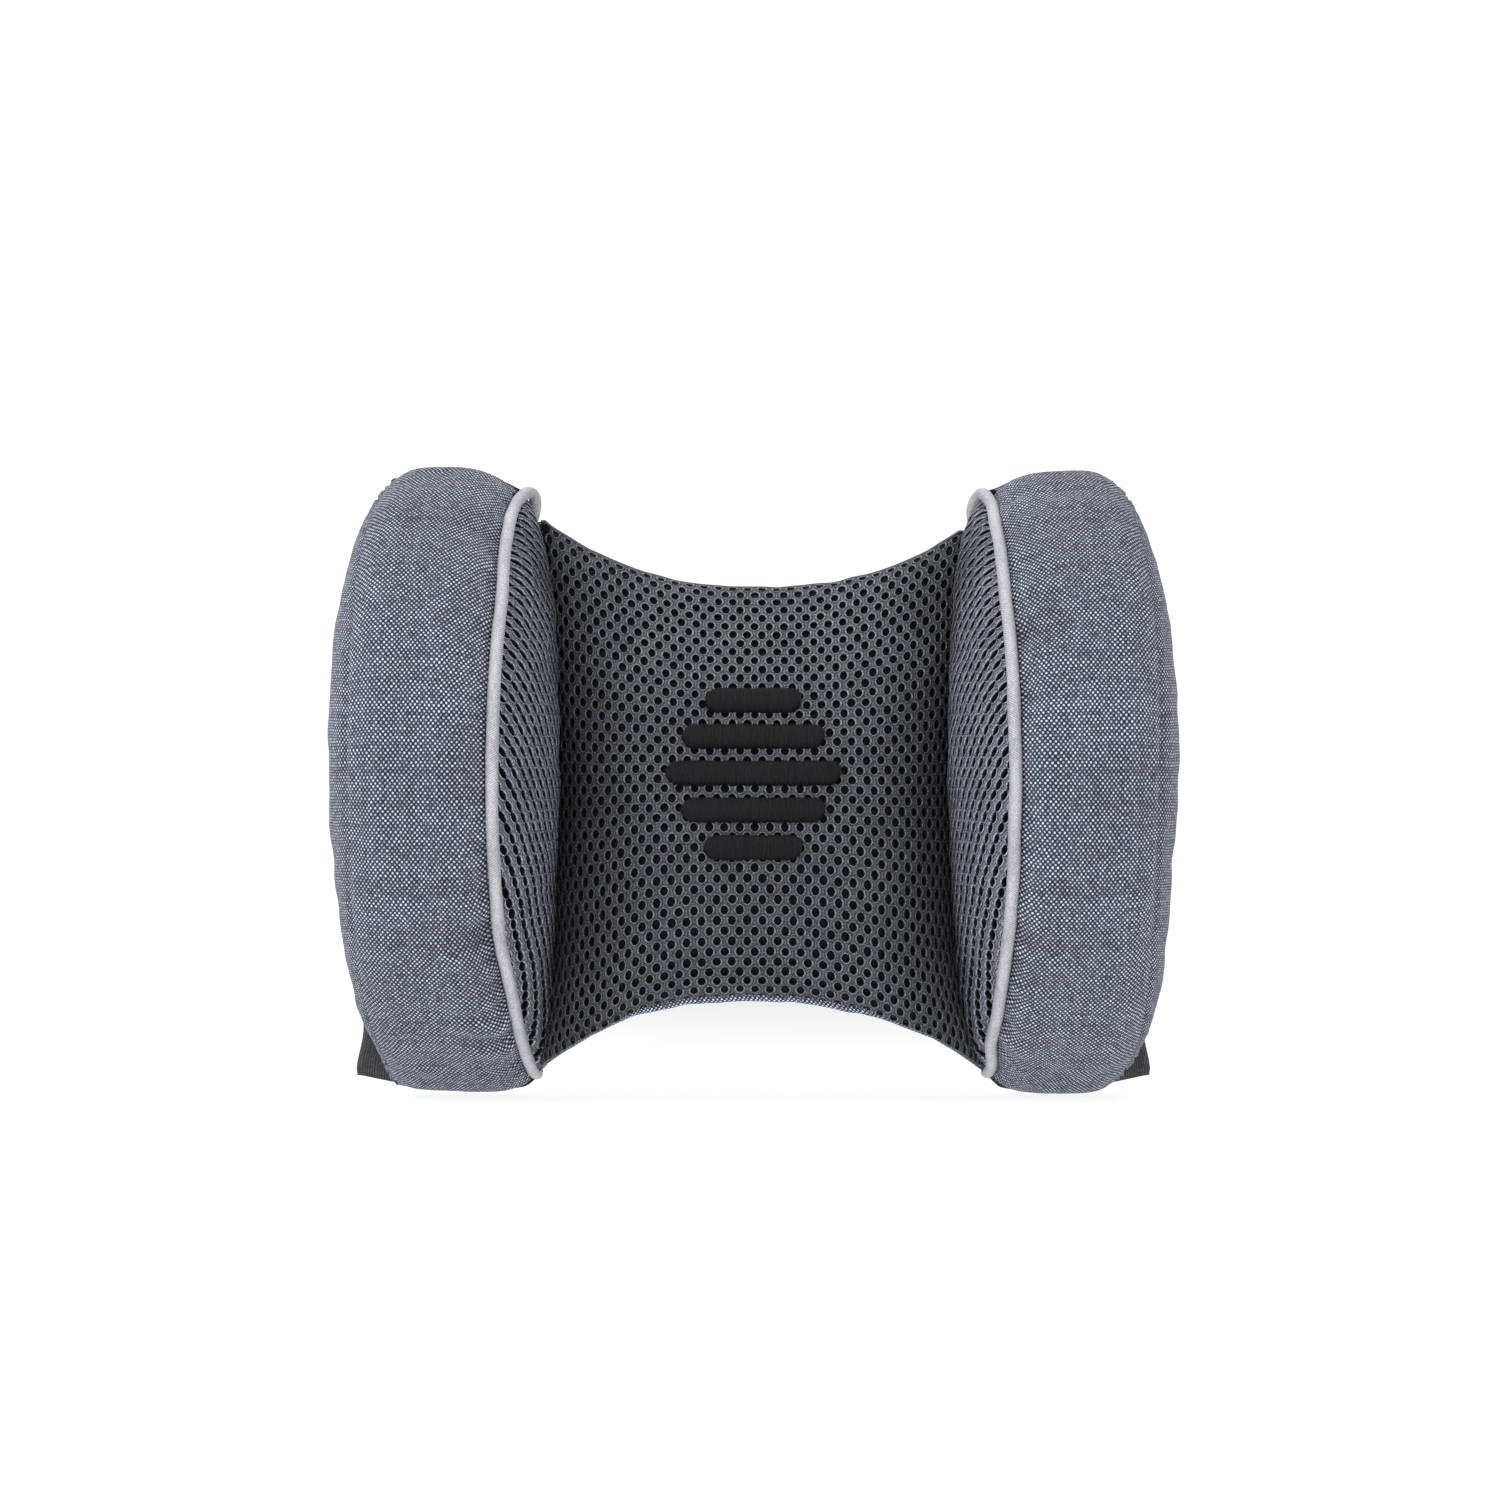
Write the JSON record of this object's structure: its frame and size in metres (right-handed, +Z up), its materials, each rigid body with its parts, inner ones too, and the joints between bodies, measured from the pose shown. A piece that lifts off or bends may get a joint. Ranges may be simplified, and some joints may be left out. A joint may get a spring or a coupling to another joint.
{
  "type": "lumbar support cushion",
  "caption": "Contoured lumbar cushion with deep side bolsters, a bulged spacer-mesh centre pad, piped seams, a zipped back and an elastic strap with a side-release buckle.",
  "frame": {"origin": "middle of the flat back plane of the cushion, on the left-right symmetry plane, at mid height of the bolsters", "axes": "+X to the cushion's right seen from the front, +Y towards the chair back, +Z up; the front face looks along -Y"},
  "size_m": [0.3078, 0.109, 0.2368],
  "materials": {
    "foam": "open-cell polyurethane foam, dull",
    "spacer_mesh": "charcoal knitted spacer mesh with oval holes",
    "grey_woven": "two-tone blue-grey plain weave",
    "back_cloth": "dark grey plain cloth",
    "piping_tape": "pale lavender-grey ribbed tape over cord",
    "embroidery_thread": "black satin-stitch thread",
    "elastic_webbing": "ribbed charcoal elastic webbing",
    "black_plastic": "fine-textured black acetal",
    "zip_tape": "dark knitted zip tape",
    "zip_teeth": "dark nylon coil",
    "nickel": "nickel-plated zinc, lightly worn"
  },
  "bodies": {
    "cushion": {"center_foam": "foam", "left_bolster_foam": "foam", "right_bolster_foam": "foam", "center_front_mesh": "spacer_mesh", "center_bottom_band": "grey_woven", "center_top_binding": "grey_woven", "center_back_panel": "back_cloth", "left_inner_mesh": "spacer_mesh", "right_inner_mesh": "spacer_mesh", "left_band": "grey_woven", "right_band": "grey_woven", "left_outer_panel": "grey_woven", "right_outer_panel": "grey_woven", "left_back_panel": "back_cloth", "right_back_panel": "back_cloth", "left_piping": "piping_tape", "right_piping": "piping_tape", "front_embroidery": "embroidery_thread", "strap_left": "elastic_webbing", "strap_tacks": "embroidery_thread", "buckle_socket": "black_plastic", "zipper_tape_upper": "zip_tape", "zipper_tape_lower": "zip_tape", "zipper_teeth_upper": "zip_teeth", "zipper_teeth_lower": "zip_teeth", "zipper_stops": "nickel"},
    "plug": {"buckle_plug": "black_plastic", "strap_right": "elastic_webbing"},
    "adjuster": {"strap_adjuster": "black_plastic"},
    "slider": {"zipper_slider": "nickel"},
    "pull": {"zipper_pull": "nickel"}
  },
  "joints": [
    {"name": "buckle_release", "type": "slide", "parent": "cushion", "child": "plug", "axis": [1, 0, 0], "range_m": [0, 0.034]},
    {"name": "strap_adjust", "type": "slide", "parent": "plug", "child": "adjuster", "axis": [0.9456, 0, -0.3255], "range_m": [-0.008, 0.018]},
    {"name": "zip_run", "type": "slide", "parent": "cushion", "child": "slider", "axis": [1, 0, 0], "range_m": [0, 0.116]},
    {"name": "pull_swing", "type": "hinge", "parent": "slider", "child": "pull", "pos_m": [-0.059, 0.0033, 0.025], "axis": [0, 0, 1], "range_deg": [0, 165]}
  ]
}
